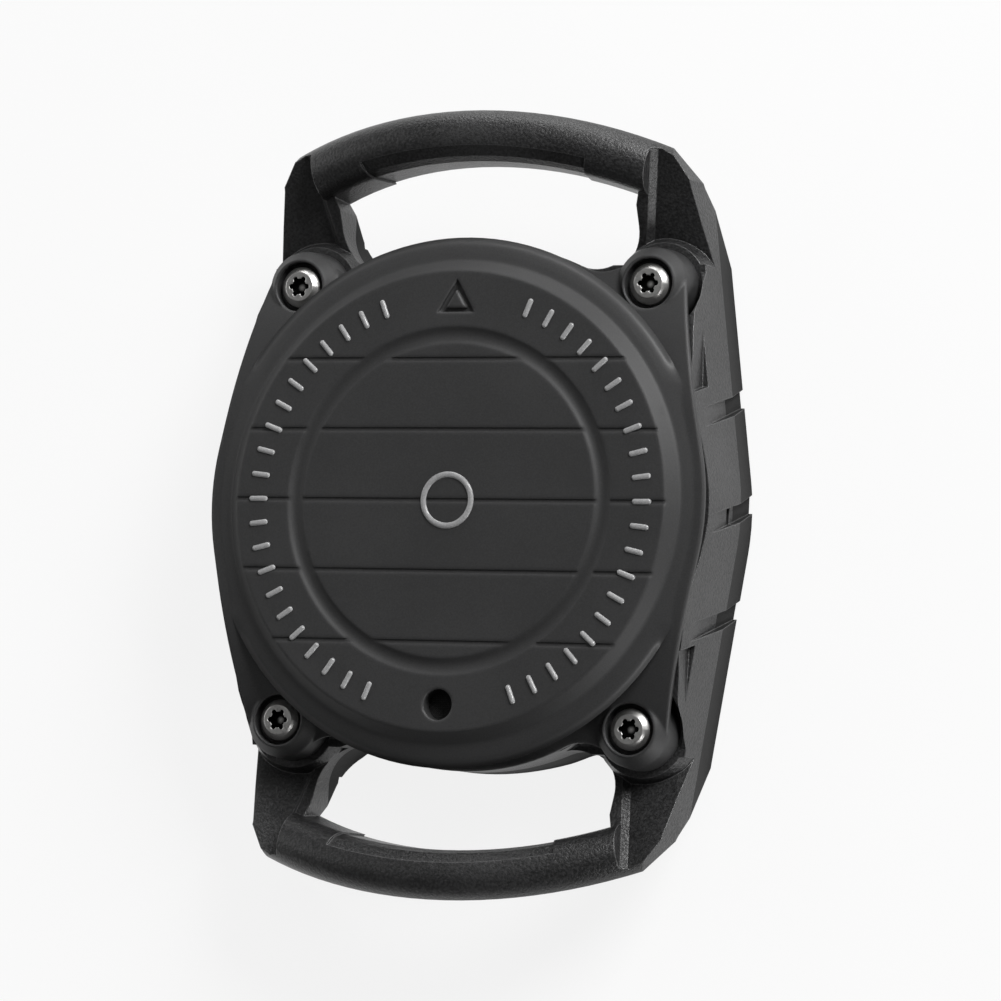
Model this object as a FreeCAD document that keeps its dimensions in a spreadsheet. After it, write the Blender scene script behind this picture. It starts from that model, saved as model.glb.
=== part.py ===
"""Tracker tag holder: a screwed-down tag case between two strap bars.

X runs across the strap, Y along it and Z out of the front. The case lies on its back,
and the origin is the middle of that back. Lengths are in millimetres, angles in degrees.
"""
import FreeCAD, Part
import Sketcher
import math
import os
import re

# Driving sizes, each set once
SIZES = {
    # the tag that the case is made for, and the room around it
    "tag_diameter": 32.0,
    "tag_height": 8.0,
    "tag_play": 0.3,
    "head_room": 0.1,
    "cushion_thickness": 0.4,
    "cushion_margin": 1.3,
    "cushion_ring_width": 3.0,
    "floor_thickness": 1.5,
    "face_thickness": 1.2,
    # front cover
    "cover_radius": 19.75,
    "lip_width": 1.15,
    "lip_thickness": 0.4,
    "ear_radius": 2.95,
    "ear_shoulder_radius": 2.8,
    "ear_shoulder_height": 2.0,
    "ear_rim_radius": 2.05,
    "ear_height": 2.95,
    "ear_blend_radius": 3.2,
    "flange_ear_radius": 2.7,
    "disc_ledge": 1.75,
    "disc_bevel": 0.9,
    "disc_drop": 0.9,
    "skirt_drop": 0.35,
    "ring_groove_radius": 12.3,
    "ring_groove_round": 0.9,
    "ring_groove_depth": 0.25,
    "rib_pitch": 5.25,
    "rib_width": 0.3,
    "rib_depth": 0.1,
    "mark_place": 15.25,
    "mark_width": 3.0,
    "mark_height": 2.5,
    "mark_line": 0.35,
    "mark_depth": 0.3,
    "port_place": 15.1,
    "port_diameter": 2.3,
    # seam between cover and frame
    "seat_height": 6.0,
    "seam_gap": 0.25,
    "ear_flare": 1.6,
    "seam_dip": 1.25,
    "seam_dip_reach": 6.8,
    # cover screws, their holes and threaded inserts
    "screw_inset_across": 5.65,
    "screw_inset_along": 3.35,
    "screw_diameter": 2.0,
    "screw_reach": 4.6,
    "screw_tip": 0.3,
    "head_diameter": 3.1,
    "head_height": 1.1,
    "head_round": 0.45,
    "counterbore_play": 0.35,
    "ear_web": 1.9,
    "screw_hole_play": 0.1,
    "thread_play": 0.05,
    "drive_core_radius": 0.6,
    "drive_lobe_radius": 0.2,
    "drive_lobe_place": 0.62,
    "drive_depth": 0.6,
    "insert_diameter": 3.2,
    "insert_length": 4.0,
    "insert_band": 1.2,
    "insert_groove_depth": 0.2,
    "tip_room": 0.4,
    # seal and sound port
    "seal_width": 1.0,
    "seal_height": 0.8,
    "seal_margin": 0.65,
    "seal_play": 0.05,
    "membrane_radius": 2.0,
    "membrane_thickness": 0.15,
    "membrane_play": 0.1,
    "tape_thickness": 0.15,
    "tape_width": 0.8,
    # frame body
    "wall_overhang": 0.4,
    "ear_wall": 0.95,
    "parting_height": 3.6,
    "upper_draft": 7.5,
    "lower_draft": 6.0,
    "crown_height": 9.85,
    "crown_flat": 6.0,
    "crown_radius": 26.0,
    "body_margin": 0.55,
    "arch_height": 11.2,
    "arch_radius": 40.0,
    "arch_thickness": 7.4,
    "leg_shoulder": 0.4,
    "leg_end_inset": 2.85,
    "leg_corner_across": 1.3,
    "leg_corner_along": 2.3,
    "leg_level_margin": 1.2,
    "leg_fall": 37.0,
    "leg_foot_inset": 1.55,
    "leg_foot_drop": 1.5,
    "leg_rise": 27.0,
    "pocket_inset": 0.65,
    "pocket_depth": 0.5,
    "pocket_slope": 0.45,
    "pocket_lead": 2.8,
    "pocket_room": 1.6,
    "pocket_run": 6.1,
    "pocket_splay": 11.0,
    "boss_land": 0.25,
    "boss_drop": 1.0,
    "boss_slope": 0.5,
    "underside_inset": 1.05,
    "underside_tilt": 43.0,
    # strap slots and bars
    "slot_width": 24.1,
    "slot_wall_inset": 0.05,
    "slot_corner_radius": 3.2,
    "slot_splay_length": 4.1,
    "slot_splay": 18.0,
    "bar_width": 4.0,
    "bar_height": 7.4,
    "strap_room": 5.8,
    "bar_arc_radius": 29.4,
    "bar_tilt": 42.6,
    "bar_sweep": 62.0,
    "pad_depth": 0.13,
    "pad_drop": 3.2,
    "pad_turn": 62.0,
    "pad_sweep": 34.0,
    # notches and recesses in the side walls
    "notch_pitch": 7.9,
    "notch_width": 1.4,
    "notch_depth": 0.65,
    "notch_tilt": 15.5,
    "slit_height": 4.6,
    "slit_size": 0.6,
    "flank_start": 8.9,
    "flank_end": 13.3,
    "flank_foot": 7.35,
    "flank_depth": 0.5,
    "lower_flank_shift": 1.15,
    # how far a cutting shape runs past what it cuts
    "overrun": 1.0,
}

# Places and sizes that follow from the driving sizes
PLACES = {
    "tag_radius": "tag_diameter / 2",
    "cavity_radius": "tag_radius + tag_play",
    "cushion_radius": "cavity_radius - cushion_margin",
    "tag_back": "floor_thickness + cushion_thickness",
    "tag_front": "tag_back + tag_height + head_room",
    "face_back": "tag_front + cushion_thickness",
    "face_front": "face_back + face_thickness",
    "cushion_front_radius": "port_place - membrane_radius - seam_gap",
    "cushion_hole_radius": "cushion_front_radius - cushion_ring_width",
    "disc_foot": "face_front - disc_drop",
    "disc_radius": "cover_radius - disc_ledge",
    "disc_top_radius": "disc_radius - disc_bevel",
    "skirt_foot": "disc_foot - skirt_drop",
    "plug_radius": "cover_radius - lip_width",
    "plug_room_radius": "plug_radius + seam_gap",
    "ear_room_radius": "ear_radius + seam_gap",
    "ear_shoulder": "seat_height + ear_shoulder_height",
    "ear_rim": "seat_height + ear_height",
    "flange_ear_room_radius": "flange_ear_radius + seam_gap",
    "cover_room_radius": "cover_radius + seam_gap",
    "flange_lift": "seam_gap + lip_thickness",
    "ring_groove_height": "face_front + ring_groove_round - ring_groove_depth",
    "port_radius": "port_diameter / 2",
    "screw_across": "cover_radius - screw_inset_across",
    "screw_along": "cover_radius - screw_inset_along",
    "screw_radius": "screw_diameter / 2",
    "head_radius": "head_diameter / 2",
    "head_seat": "seat_height + ear_web",
    "head_flat_radius": "head_radius - head_round",
    "counterbore_radius": "head_radius + counterbore_play",
    "counterbore_top": "(ear_rim + skirt_foot) / 2",
    "screw_hole_radius": "screw_radius + screw_hole_play",
    "thread_radius": "screw_radius + thread_play",
    "screw_length": "ear_web + screw_reach",
    "screw_tip_radius": "screw_radius - screw_tip",
    "screw_head_top": "screw_length + head_height",
    "screw_head_side": "screw_head_top - head_round",
    "insert_radius": "insert_diameter / 2",
    "insert_foot": "seat_height - insert_length",
    "insert_groove_radius": "insert_radius - insert_groove_depth",
    "insert_groove_end": "insert_length - insert_band",
    "screw_well_foot": "seat_height - screw_reach - tip_room",
    "seal_inner_radius": "cavity_radius + seal_margin + seal_play",
    "seal_outer_radius": "seal_inner_radius + seal_width",
    "seal_foot": "seat_height - seal_height",
    "tape_foot": "face_back - tape_thickness",
    "tape_hole_radius": "membrane_radius - tape_width",
    "membrane_foot": "tape_foot - membrane_thickness",
    "membrane_room_radius": "membrane_radius + membrane_play",
    "membrane_room_foot": "membrane_foot - membrane_play",
    "body_end": "cover_radius + body_margin",
    "wall_radius": "cover_radius + wall_overhang",
    "wall_ear_radius": "ear_radius + ear_wall",
    "boss_foot": "seat_height - boss_drop",
    "boss_radius": "ear_room_radius + boss_land",
    "boss_foot_radius": "boss_radius + boss_slope",
    "upper_wall": "arch_height + overrun - parting_height",
    "slot_wall_radius": "cover_radius - slot_wall_inset",
    "slot_half_width": "slot_width / 2",
    "bar_reach": "cover_radius + strap_room + bar_width",
    "leg_end": "bar_reach - leg_end_inset",
    "leg_straight": "leg_end - leg_corner_along - leg_shoulder",
    "leg_level_start": "screw_along + leg_level_margin",
    "leg_foot_start": "cover_radius - leg_foot_inset",
    "leg_rise_start": "leg_foot_start + leg_foot_drop / tan(leg_rise)",
    "underside_start": "cover_radius - underside_inset",
    "slot_splay_start": "leg_end - slot_splay_length",
    "bar_radius": "bar_width / 2",
    "bar_middle": "bar_reach - bar_radius",
    "bar_centre_height": "arch_height - bar_height / 2",
    "bar_core_half": "(bar_height - bar_width) / 2",
    "bar_axis_along": "bar_middle - bar_arc_radius * cos(bar_tilt)",
    "bar_axis_height": "bar_centre_height - bar_arc_radius * sin(bar_tilt)",
    "bar_core_high": "bar_centre_height + bar_core_half",
    "bar_core_low": "bar_centre_height - bar_core_half",
    "bar_axis_end_along": "bar_axis_along - bar_arc_radius * sin(bar_tilt)",
    "bar_axis_end_height": "bar_axis_height + bar_arc_radius * cos(bar_tilt)",
    "pad_inner": "bar_reach - bar_width - overrun",
    "pad_outer": "bar_reach - bar_width + pad_depth",
    "pad_low": "bar_core_high - pad_drop",
    "pad_radius": "bar_radius - pad_depth",
    "pad_mid_along": "bar_middle - pad_radius * cos(pad_turn / 2)",
    "pad_mid_height": "bar_core_high + pad_radius * sin(pad_turn / 2)",
    "pad_edge_along": "bar_middle - pad_radius * cos(pad_turn)",
    "pad_edge_height": "bar_core_high + pad_radius * sin(pad_turn)",
    "pad_out_along": "bar_middle - (bar_radius + overrun) * cos(pad_turn)",
    "pad_out_height": "bar_core_high + (bar_radius + overrun) * sin(pad_turn)",
}

CORNERS = {
    "upper_right": (1, 1),
    "upper_left": (-1, 1),
    "lower_left": (-1, -1),
    "lower_right": (1, -1),
}
RIB_COUNT = 5
LOBE_COUNT = 6

doc = FreeCAD.newDocument("tracker_tag_holder")


def fill_sheet(name, cells):
    """Make a spreadsheet with one alias per value and return it."""
    sheet = doc.addObject("Spreadsheet::Sheet", name)
    for row, (alias, text) in enumerate(cells.items(), start=1):
        sheet.set(f"A{row}", alias)
        sheet.set(f"B{row}", text)
        sheet.setAlias(f"B{row}", alias)
    doc.recompute()
    return sheet


def bound(text):
    """Write each size's or place's name in an expression as a reference to its cell."""
    def reference(match):
        word = match.group(0)
        if word in SIZES:
            return f"Sizes.{word}"
        return f"Places.{word}" if word in PLACES else word
    return re.sub(r"[a-z_]+", reference, text)


SIZE_SHEET = fill_sheet("Sizes", {alias: str(number) for alias, number in SIZES.items()})
PLACE_SHEET = fill_sheet("Places", {alias: f"={bound(text)}" for alias, text in PLACES.items()})


def value(alias):
    """Number that a size or place has in the sheets."""
    return float((SIZE_SHEET if alias in SIZES else PLACE_SHEET).get(alias))


def add(kind, name, **expressions):
    """Add an object whose properties follow expressions; x, y and z place its base."""
    item = doc.addObject(kind, name)
    for key, text in expressions.items():
        path = f"Placement.Base.{key}" if key in ("x", "y", "z") else key
        item.setExpression(path, bound(text))
    return item


def cylinder(name, radius, low, high, x="0", y="0"):
    """Upright cylinder between two levels."""
    return add("Part::Cylinder", name, Radius=radius, Height=f"{high} - ({low})", x=x, y=y, z=low)


def cone(name, low_radius, high_radius, low, high, x="0", y="0"):
    """Upright cone frustum between two levels."""
    return add("Part::Cone", name, Radius1=low_radius, Radius2=high_radius, Height=f"{high} - ({low})",
               x=x, y=y, z=low)


def box(name, length, width, low, high, x, y):
    """Upright block centred on a place in plan."""
    return add("Part::Box", name, Length=length, Width=width, Height=f"{high} - ({low})",
               x=f"{x} - ({length}) / 2", y=f"{y} - ({width}) / 2", z=low)


def fuse(name, *items):
    """Union of several objects."""
    union = doc.addObject("Part::MultiFuse", name)
    union.Shapes = list(items)
    return union


def cut(name, base, *tools):
    """One object less the union of the others."""
    result = doc.addObject("Part::Cut", name)
    result.Base = base
    result.Tool = tools[0] if len(tools) == 1 else fuse(f"{name}_tools", *tools)
    return result


def common(name, first, second):
    """What two objects share."""
    result = doc.addObject("Part::Common", name)
    result.Base = first
    result.Tool = second
    return result


def mirrored(name, source, normal):
    """Mirror image of an object in a plane through the origin."""
    image = doc.addObject("Part::Mirroring", name)
    image.Source = source
    image.Normal = normal
    return image


def rounded(name, base, radius, wanted):
    """Round the edges of an object that a test picks out."""
    doc.recompute()
    result = doc.addObject("Part::Fillet", name)
    result.Base = base
    size = value(radius)
    edges = [number for number, edge in enumerate(base.Shape.Edges, start=1) if wanted(edge)]
    result.Edges = [(number, size, size) for number in edges]
    return result


def extruded(name, wire, direction, forward, backward="0", **more):
    """Solid drawn from a closed wire along a direction."""
    outline = doc.addObject("Part::Feature", f"{name}_outline")
    outline.Shape = wire
    solid = add("Part::Extrusion", name, LengthFwd=forward, LengthRev=backward, **more)
    solid.Base = outline
    solid.DirMode = "Custom"
    solid.Dir = direction
    solid.Solid = True
    return solid


def closed_wire(*edges):
    """Wire from edges that meet end to end."""
    return Part.Wire([edge.toShape() for edge in edges])


def polygon(points):
    """Closed wire of straight sides."""
    return Part.makePolygon([*points, points[0]])


UP = FreeCAD.Vector(0, 0, 1)
ACROSS = FreeCAD.Vector(1, 0, 0)
ALONG = FreeCAD.Vector(0, 1, 0)


def arc_height(height, radius, offset):
    """Level of a round crest at a distance from its middle."""
    return height - radius + math.sqrt(radius ** 2 - offset ** 2)


def crown_block(name, lift="0"):
    """Body-wide block under the seam: level in the middle and rounding down to both ends."""
    reach = value("body_end")
    flat = value("crown_flat")
    top = value("crown_height")
    radius = value("crown_radius")
    bend = (reach - flat) / 2
    side = arc_height(top, radius, reach - flat)
    halfway = arc_height(top, radius, bend)

    def at(offset, level):
        return FreeCAD.Vector(0, offset, level)
    wire = closed_wire(
        Part.LineSegment(at(-reach, 0), at(reach, 0)),
        Part.LineSegment(at(reach, 0), at(reach, side)),
        Part.Arc(at(reach, side), at(flat + bend, halfway), at(flat, top)),
        Part.LineSegment(at(flat, top), at(-flat, top)),
        Part.Arc(at(-flat, top), at(-flat - bend, halfway), at(-reach, side)),
        Part.LineSegment(at(-reach, side), at(-reach, 0)),
    )
    return extruded(name, wire, ACROSS, "wall_radius + overrun", "wall_radius + overrun", z=lift)


def seam_dip():
    """Space that opens the seam along the middle of both sides, between the cover's lip and the frame."""
    reach = value("seam_dip_reach")
    top = value("crown_height") + value("overrun")
    side = arc_height(value("crown_height"), value("crown_radius"), reach - value("crown_flat"))

    def at(offset, level):
        return FreeCAD.Vector(0, offset, level)
    wire = closed_wire(
        Part.Arc(at(-reach, side), at(0, value("crown_height") - value("seam_dip")), at(reach, side)),
        Part.LineSegment(at(reach, side), at(reach, top)),
        Part.LineSegment(at(reach, top), at(-reach, top)),
        Part.LineSegment(at(-reach, top), at(-reach, side)),
    )
    return extruded("seam_dip", wire, ACROSS, "wall_radius + overrun", "wall_radius + overrun")


def arch_slab(name):
    """Saddle between two equal arches, drawn along Y over the whole frame."""
    reach = value("wall_radius") + value("overrun")
    top = value("arch_height")
    low = top - value("arch_thickness")
    drop = top - arc_height(top, value("arch_radius"), reach)

    def at(offset, level):
        return FreeCAD.Vector(offset, 0, level)
    wire = closed_wire(
        Part.Arc(at(-reach, low - drop), at(0, low), at(reach, low - drop)),
        Part.LineSegment(at(reach, low - drop), at(reach, top - drop)),
        Part.Arc(at(reach, top - drop), at(0, top), at(-reach, top - drop)),
        Part.LineSegment(at(-reach, top - drop), at(-reach, low - drop)),
    )
    return extruded(name, wire, ALONG, "leg_end + overrun", "leg_end + overrun")


def side_tangent(radius, ear_radius):
    """Points where the straight side meets the round body and the ear, in the first quarter."""
    across = value("screw_across")
    along = value("screw_along")
    turn = math.atan2(along, across) - math.acos((radius - ear_radius) / math.hypot(across, along))
    normal = FreeCAD.Vector(math.cos(turn), math.sin(turn), 0)
    return normal * radius, FreeCAD.Vector(across, along, 0) + normal * ear_radius


def quarters(point):
    """A plan point and its mirror images, counted anticlockwise from the first quarter."""
    return [FreeCAD.Vector(point.x * sign_x, point.y * sign_y, point.z)
            for sign_x, sign_y in CORNERS.values()]


def cover_prism(name, radius, ear_radius, low, high):
    """Round plate with four ears, straight sides and hollow blends beside the slots."""
    body_point, ear_point = side_tangent(value(radius), value(ear_radius))
    middle = FreeCAD.Vector(value("screw_across"), value("screw_along"), 0)
    body_points, ear_points, middles = (quarters(point) for point in (body_point, ear_point, middle))
    sides = []
    for side, first, last in (("right", 3, 0), ("left", 1, 2)):
        wire = polygon([FreeCAD.Vector(), body_points[first], ear_points[first], middles[first],
                        middles[last], ear_points[last], body_points[last]])
        sides.append(extruded(f"{name}_{side}_side", wire, UP, f"{high} - ({low})", z=low))
    ears = [cylinder(f"{name}_{corner}_ear", ear_radius, low, high,
                     f"{sign_x} * screw_across", f"{sign_y} * screw_along")
            for corner, (sign_x, sign_y) in CORNERS.items()]
    plate = cylinder(f"{name}_plate", radius, low, high)
    sharp = fuse(f"{name}_sharp", plate, *ears, *sides)
    sharp.Refine = True

    def is_hollow_corner(edge):
        middle = edge.CenterOfMass
        upright = edge.BoundBox.ZLength > edge.BoundBox.XLength + edge.BoundBox.YLength
        return upright and abs(middle.y) > abs(middle.x)
    return rounded(name, sharp, "ear_blend_radius", is_hollow_corner)


def tangent_slope():
    """How much the straight side draws in per unit along Y."""
    body_point, ear_point = side_tangent(value("wall_radius"), value("wall_ear_radius"))
    return (body_point.x - ear_point.x) / (ear_point.y - body_point.y)


def wall_across(along):
    """Half width of the frame at its parting line, at a place along Y."""
    body_point = side_tangent(value("wall_radius"), value("wall_ear_radius"))[0]
    if abs(along) < body_point.y:
        return math.sqrt(value("wall_radius") ** 2 - along ** 2)
    return body_point.x - tangent_slope() * (abs(along) - body_point.y)


def frame_outline():
    """Plan of the frame at its parting line: bowed sides, straight legs and cut corners."""
    leg = wall_across(value("leg_straight"))
    tangent = side_tangent(value("wall_radius"), value("wall_ear_radius"))[0]
    start = FreeCAD.Vector(leg, value("leg_straight"), 0)
    corner = FreeCAD.Vector(leg, value("leg_end") - value("leg_corner_along"), 0)
    end = FreeCAD.Vector(leg - value("leg_corner_across"), value("leg_end"), 0)
    tangents, starts, corners, ends = (quarters(point) for point in (tangent, start, corner, end))
    apex = FreeCAD.Vector(value("wall_radius"), 0, 0)
    return closed_wire(
        Part.Arc(tangents[3], apex, tangents[0]),
        Part.LineSegment(tangents[0], starts[0]),
        Part.LineSegment(starts[0], corners[0]),
        Part.LineSegment(corners[0], ends[0]),
        Part.LineSegment(ends[0], ends[1]),
        Part.LineSegment(ends[1], corners[1]),
        Part.LineSegment(corners[1], starts[1]),
        Part.LineSegment(starts[1], tangents[1]),
        Part.Arc(tangents[1], -apex, tangents[2]),
        Part.LineSegment(tangents[2], starts[2]),
        Part.LineSegment(starts[2], corners[2]),
        Part.LineSegment(corners[2], ends[2]),
        Part.LineSegment(ends[2], ends[3]),
        Part.LineSegment(ends[3], corners[3]),
        Part.LineSegment(corners[3], starts[3]),
        Part.LineSegment(starts[3], tangents[3]),
    )


def bar_limit():
    """Plan that ends the upper strap bar flush with the cut corners of its legs."""
    leg = wall_across(value("leg_straight"))
    across, along = value("leg_corner_across"), value("leg_corner_along")
    corner = value("leg_end") - along
    reach = value("bar_reach") + value("overrun")
    end = leg - across / along * (reach - corner)
    corners = [(-leg, 0), (leg, 0), (leg, corner), (end, reach), (-end, reach), (-leg, corner)]
    wire = polygon([FreeCAD.Vector(x, y, 0) for x, y in corners])
    return extruded("bar_limit", wire, UP, "upper_wall", "parting_height", z="parting_height",
                    TaperAngle="-upper_draft", TaperAngleRev="-lower_draft")


def origin_plane(body, role):
    """One of a body's own origin planes."""
    return next(item for item in body.Origin.OriginFeatures if item.Role == role)


def sketch_on(body, name, role):
    """Empty sketch on one of the body's origin planes."""
    sketch = body.newObject("Sketcher::SketchObject", name)
    sketch.AttachmentSupport = [(origin_plane(body, role), "")]
    sketch.MapMode = "FlatFace"
    return sketch


def hold(sketch, geometry, point, axis, alias):
    """Keep a point of a sketch at a size or place from the origin, or on the axis."""
    if alias == "0":
        line = -2 if axis == "X" else -1
        sketch.addConstraint(Sketcher.Constraint("PointOnObject", geometry, point, line))
        return
    number = sketch.addConstraint(
        Sketcher.Constraint(f"Distance{axis}", -1, 1, geometry, point, value(alias)))
    sketch.setExpression(f"Constraints[{number}]", bound(alias))


def draw_polygon(sketch, corners):
    """Closed outline whose corners are named places from the origin."""
    def number(alias):
        return 0 if alias == "0" else value(alias)
    points = [FreeCAD.Vector(number(first), number(second), 0) for first, second in corners]
    for start, end in zip(points, points[1:] + points[:1]):
        sketch.addGeometry(Part.LineSegment(start, end), False)
    for index, (first, second) in enumerate(corners):
        before = (index or len(corners)) - 1
        sketch.addConstraint(Sketcher.Constraint("Coincident", before, 2, index, 1))
        hold(sketch, index, 1, "X", first)
        hold(sketch, index, 1, "Y", second)


def draw_circle(sketch, radius, across="0", along="0"):
    """Circle with a named radius and centre."""
    def number(alias):
        return 0 if alias == "0" else value(alias)
    centre = FreeCAD.Vector(number(across), number(along), 0)
    circle = sketch.addGeometry(Part.Circle(centre, UP, value(radius)), False)
    size = sketch.addConstraint(Sketcher.Constraint("Radius", circle, value(radius)))
    sketch.setExpression(f"Constraints[{size}]", bound(radius))
    hold(sketch, circle, 3, "X", across)
    hold(sketch, circle, 3, "Y", along)


def turned(name, corners):
    """Body turned about its own Z axis from a half section of (radius, level) corners."""
    body = doc.addObject("PartDesign::Body", name)
    profile = sketch_on(body, f"{name}_profile", "XZ_Plane")
    draw_polygon(profile, corners)
    revolution = body.newObject("PartDesign::Revolution", f"{name}_turning")
    revolution.Profile = profile
    revolution.ReferenceAxis = (profile, ["V_Axis"])
    revolution.Angle = 360
    return body


def stand(item, x="0", y="0", z="0"):
    """Place a sub-part in the shared frame."""
    for axis, text in (("x", x), ("y", y), ("z", z)):
        item.setExpression(f"Placement.Base.{axis}", bound(text))


def strap_bar():
    """Bowed strap bar: an upright rounded section swept about a tilted axis, with a sunk strap pad."""
    body = doc.addObject("PartDesign::Body", "strap_bar")
    section = sketch_on(body, "strap_bar_section", "YZ_Plane")
    middle, height = value("bar_middle"), value("bar_centre_height")
    radius, half = value("bar_radius"), value("bar_core_half")
    top = FreeCAD.Vector(middle, height + half, 0)
    low = FreeCAD.Vector(middle, height - half, 0)
    side = FreeCAD.Vector(radius, 0, 0)
    section.addGeometry(Part.ArcOfCircle(Part.Circle(top, UP, radius), 0, math.pi), False)
    section.addGeometry(Part.LineSegment(top - side, low - side), False)
    section.addGeometry(Part.ArcOfCircle(Part.Circle(low, UP, radius), math.pi, 2 * math.pi), False)
    section.addGeometry(Part.LineSegment(low + side, top + side), False)
    for first, second in ((0, 1), (1, 2), (2, 3), (3, 0)):
        section.addConstraint(Sketcher.Constraint("Tangent", first, 2, second, 1))
    size = section.addConstraint(Sketcher.Constraint("Radius", 0, radius))
    section.setExpression(f"Constraints[{size}]", bound("bar_radius"))
    hold(section, 0, 3, "X", "bar_middle")
    hold(section, 0, 3, "Y", "bar_core_high")
    hold(section, 2, 3, "X", "bar_middle")
    hold(section, 2, 3, "Y", "bar_core_low")
    draw_bar_axis(section)
    sweep = body.newObject("PartDesign::Revolution", "strap_bar_sweep")
    sweep.Profile = section
    sweep.ReferenceAxis = (section, ["Axis0"])
    sweep.Midplane = True
    sweep.setExpression("Angle", bound("bar_sweep"))
    doc.recompute()
    pad = sketch_on(body, "strap_pad_section", "YZ_Plane")
    draw_polygon(pad, [("pad_inner", "pad_low"), ("pad_outer", "pad_low"), ("pad_outer", "bar_core_high"),
                       ("pad_mid_along", "pad_mid_height"), ("pad_edge_along", "pad_edge_height"),
                       ("pad_out_along", "pad_out_height"), ("pad_inner", "pad_out_height")])
    draw_bar_axis(pad)
    recess = body.newObject("PartDesign::Groove", "strap_pad")
    recess.Profile = pad
    recess.ReferenceAxis = (pad, ["Axis0"])
    recess.Midplane = True
    recess.setExpression("Angle", bound("pad_sweep"))
    return body


def draw_bar_axis(sketch):
    """Construction line that the bar is swept about."""
    start = FreeCAD.Vector(value("bar_axis_along"), value("bar_axis_height"), 0)
    end = FreeCAD.Vector(value("bar_axis_end_along"), value("bar_axis_end_height"), 0)
    line = sketch.addGeometry(Part.LineSegment(start, end), True)
    hold(sketch, line, 1, "X", "bar_axis_along")
    hold(sketch, line, 1, "Y", "bar_axis_height")
    hold(sketch, line, 2, "X", "bar_axis_end_along")
    hold(sketch, line, 2, "Y", "bar_axis_end_height")


def strap_slot():
    """Space between the body and the strap bar, with wide rounds where the body meets the legs."""
    narrow, bend = value("slot_half_width"), value("slot_splay_start")
    far = value("leg_end") + value("overrun")
    wide = narrow + math.tan(math.radians(value("slot_splay"))) * (far - bend)
    corners = [(-narrow, 0), (narrow, 0), (narrow, bend), (wide, far), (-wide, far), (-narrow, bend)]
    wire = polygon([FreeCAD.Vector(across, along, 0) for across, along in corners])
    room = extruded("slot_room", wire, UP, "arch_height + overrun", "overrun")
    wall = cylinder("slot_wall", "slot_wall_radius", "-2 * overrun", "arch_height + 2 * overrun")
    sharp = cut("sharp_slot", room, wall)

    def is_body_corner(edge):
        box_of_edge = edge.BoundBox
        return box_of_edge.ZLength > box_of_edge.XLength + box_of_edge.YLength and box_of_edge.YMax < bend
    return rounded("upper_slot", sharp, "slot_corner_radius", is_body_corner)


def side_notches():
    """Slanted notches in the right wall, and the slit in the floor of the middle one."""
    tools = []
    half = value("notch_width") / 2
    low, high = 0 - value("overrun"), value("crown_height") + value("overrun")
    lean = math.tan(math.radians(value("notch_tilt")))
    for name, step in (("lower", -1), ("middle", 0), ("upper", 1)):
        along = step * value("notch_pitch")

        def at(offset, level):
            shift = offset - lean * (level - value("parting_height"))
            across = wall_across(along) - step * tangent_slope() * shift - value("notch_depth")
            return FreeCAD.Vector(across, along + shift, level)
        wire = polygon([at(-half, low), at(half, low), at(half, high), at(-half, high)])
        tools.append(extruded(f"{name}_notch", wire, ACROSS, "notch_depth + overrun"))
    tools.append(box("notch_slit", "2 * (notch_depth + slit_size)", "notch_width",
                     "slit_height - slit_size / 2", "slit_height + slit_size / 2", "wall_radius",
                     "(parting_height - slit_height) * tan(notch_tilt)"))
    return fuse("right_notches", *tools)


def flank_recess(name, sign, shift=0):
    """Wedge cut high into the right wall, deepest beside the notch and running out at the ear."""
    foot = value("flank_foot")
    lean = math.tan(math.radians(value("upper_draft"))) * (foot - value("parting_height"))
    outside = value("overrun")

    def at(along, depth):
        return FreeCAD.Vector(wall_across(along) - lean - depth, sign * along, foot)
    start, end = value("flank_start") + shift, value("flank_end") + shift
    wire = polygon([at(end, 0), at(start, value("flank_depth")), at(start, -outside), at(end, -outside)])
    rise = FreeCAD.Vector(0, -math.tan(math.radians(value("notch_tilt"))), 1)
    return extruded(name, wire, rise, "arch_height")


def leg_front():
    """Space over the upper legs: sloping down beside the ears, level, then rising to the strap bar."""
    start, bend, end = value("leg_level_start"), value("leg_rise_start"), value("leg_end") + value("overrun")
    level, top = value("seat_height"), value("arch_height") + value("overrun")
    fall = (top - level) / math.tan(math.radians(value("leg_fall")))
    rise = math.tan(math.radians(value("leg_rise"))) * (end - bend)
    corners = [(start - fall, top), (start, level), (bend, level), (end, level + rise), (end, top)]
    wire = polygon([FreeCAD.Vector(0, along, height) for along, height in corners])
    block = extruded("leg_front_block", wire, ACROSS, "wall_radius", "wall_radius")
    core = cylinder("leg_front_core", "cover_radius", "0", "arch_height + 2 * overrun")
    return cut("leg_front", block, core)


def leg_foot():
    """Wedge under the level of the screw seats, where the upper right leg runs down to the body."""
    start, bend = value("leg_foot_start"), value("leg_rise_start")
    level, top = value("seat_height"), value("arch_height")
    corners = [(start, level - value("leg_foot_drop")), (bend, level), (bend, top), (start, top)]
    wire = polygon([FreeCAD.Vector(0, along, height) for along, height in corners])
    block = extruded("leg_foot_block", wire, ACROSS, "wall_radius")
    core = cylinder("leg_foot_core", "cover_room_radius", "0", "arch_height + overrun")
    return cut("leg_foot", block, core)


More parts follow.
